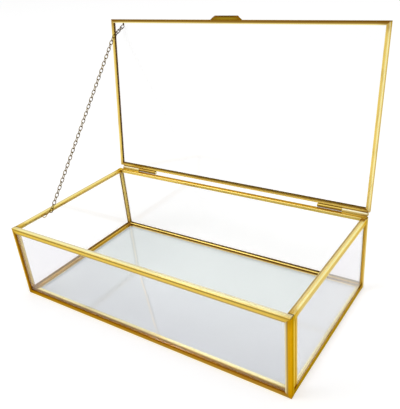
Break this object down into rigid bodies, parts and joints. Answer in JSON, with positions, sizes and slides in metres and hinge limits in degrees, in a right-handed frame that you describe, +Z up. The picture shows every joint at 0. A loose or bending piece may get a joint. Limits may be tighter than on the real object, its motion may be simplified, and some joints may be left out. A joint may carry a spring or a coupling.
{
  "type": "glass casket box",
  "caption": "Clear glass casket box framed in brass came, with a hinged glass lid held open by a fine chain, for keepsakes.",
  "frame": {"origin": "centre of the footprint, on the underside of the box", "axes": "+Z up, -Y to the front where the lid is lifted, +X to the right seen from the front"},
  "size_m": [0.2, 0.1283, 0.1637],
  "materials": {
    "glass": "clear polished",
    "came": "polished, soldered",
    "hinge": "satin",
    "chain": "aged"
  },
  "bodies": {
    "box": {"floor_glass": "glass", "front_glass": "glass", "back_glass": "glass", "left_glass": "glass", "right_glass": "glass", "front_bottom_rail": "came", "back_bottom_rail": "came", "left_bottom_rail": "came", "right_bottom_rail": "came", "front_top_rail": "came", "back_top_rail": "came", "left_top_rail": "came", "right_top_rail": "came", "front_left_post": "came", "front_right_post": "came", "back_left_post": "came", "back_right_post": "came", "box_knuckle_left": "hinge", "box_knuckle_right": "hinge", "hinge_pin_left": "hinge", "hinge_pin_right": "hinge", "chain_lower_end": "came"},
    "lid": {"lid_glass": "glass", "lid_front_rail": "came", "lid_back_rail": "came", "lid_left_rail": "came", "lid_right_rail": "came", "lid_knuckle_left": "hinge", "lid_knuckle_right": "hinge", "lift_tab": "came", "chain_upper_end": "chain"},
    "chain_1": {"chain_run_1": "chain"},
    "chain_2": {"chain_run_2": "chain"},
    "chain_3": {"chain_run_3": "chain"},
    "chain_4": {"chain_run_4": "chain"},
    "chain_5": {"chain_run_5": "chain"},
    "chain_6": {"chain_run_6": "chain"},
    "chain_7": {"chain_run_7": "chain"},
    "chain_8": {"chain_run_8": "chain"}
  },
  "joints": [
    {"name": "lid_hinge", "type": "hinge", "parent": "box", "child": "lid", "pos_m": [0, 0.0559, 0.0522], "axis": [1, 0, 0], "range_deg": [0, 97.6]},
    {"name": "chain_fold_1", "type": "hinge", "parent": "lid", "child": "chain_1", "pos_m": [-0.09368, 0.06254, 0.15038], "axis": [1, 0, 0], "range_deg": [-82.8, 0]},
    {"name": "chain_fold_2", "type": "hinge", "parent": "chain_1", "child": "chain_2", "pos_m": [-0.09368, 0.05149, 0.13795], "axis": [1, 0, 0], "range_deg": [0, 30.08]},
    {"name": "chain_fold_3", "type": "hinge", "parent": "chain_2", "child": "chain_3", "pos_m": [-0.09368, 0.04043, 0.12551], "axis": [1, 0, 0], "range_deg": [0, 47.14]},
    {"name": "chain_fold_4", "type": "hinge", "parent": "chain_3", "child": "chain_4", "pos_m": [-0.09368, 0.02938, 0.11308], "axis": [1, 0, 0], "range_deg": [0, 39.92]},
    {"name": "chain_fold_5", "type": "hinge", "parent": "chain_4", "child": "chain_5", "pos_m": [-0.09368, 0.01832, 0.10064], "axis": [1, 0, 0], "range_deg": [0, 6.47]},
    {"name": "chain_fold_6", "type": "hinge", "parent": "chain_5", "child": "chain_6", "pos_m": [-0.09368, 0.00727, 0.08821], "axis": [1, 0, 0], "range_deg": [0, 106.76]},
    {"name": "chain_fold_7", "type": "hinge", "parent": "chain_6", "child": "chain_7", "pos_m": [-0.09368, -0.00379, 0.07577], "axis": [1, 0, 0], "range_deg": [0, 3.9]},
    {"name": "chain_fold_8", "type": "hinge", "parent": "chain_7", "child": "chain_8", "pos_m": [-0.09368, -0.01485, 0.06334], "axis": [1, 0, 0], "range_deg": [0, 3.9]}
  ],
  "couplings": [
    {"joint": "chain_fold_1", "follows": "lid_hinge", "ratio": -0.8478},
    {"joint": "chain_fold_2", "follows": "lid_hinge", "ratio": 0.3077},
    {"joint": "chain_fold_3", "follows": "lid_hinge", "ratio": 0.4825},
    {"joint": "chain_fold_4", "follows": "lid_hinge", "ratio": 0.4085},
    {"joint": "chain_fold_5", "follows": "lid_hinge", "ratio": 0.0658},
    {"joint": "chain_fold_6", "follows": "lid_hinge", "ratio": 1.0933},
    {"joint": "chain_fold_7", "follows": "lid_hinge", "ratio": 0.0394},
    {"joint": "chain_fold_8", "follows": "lid_hinge", "ratio": 0.0394}
  ]
}
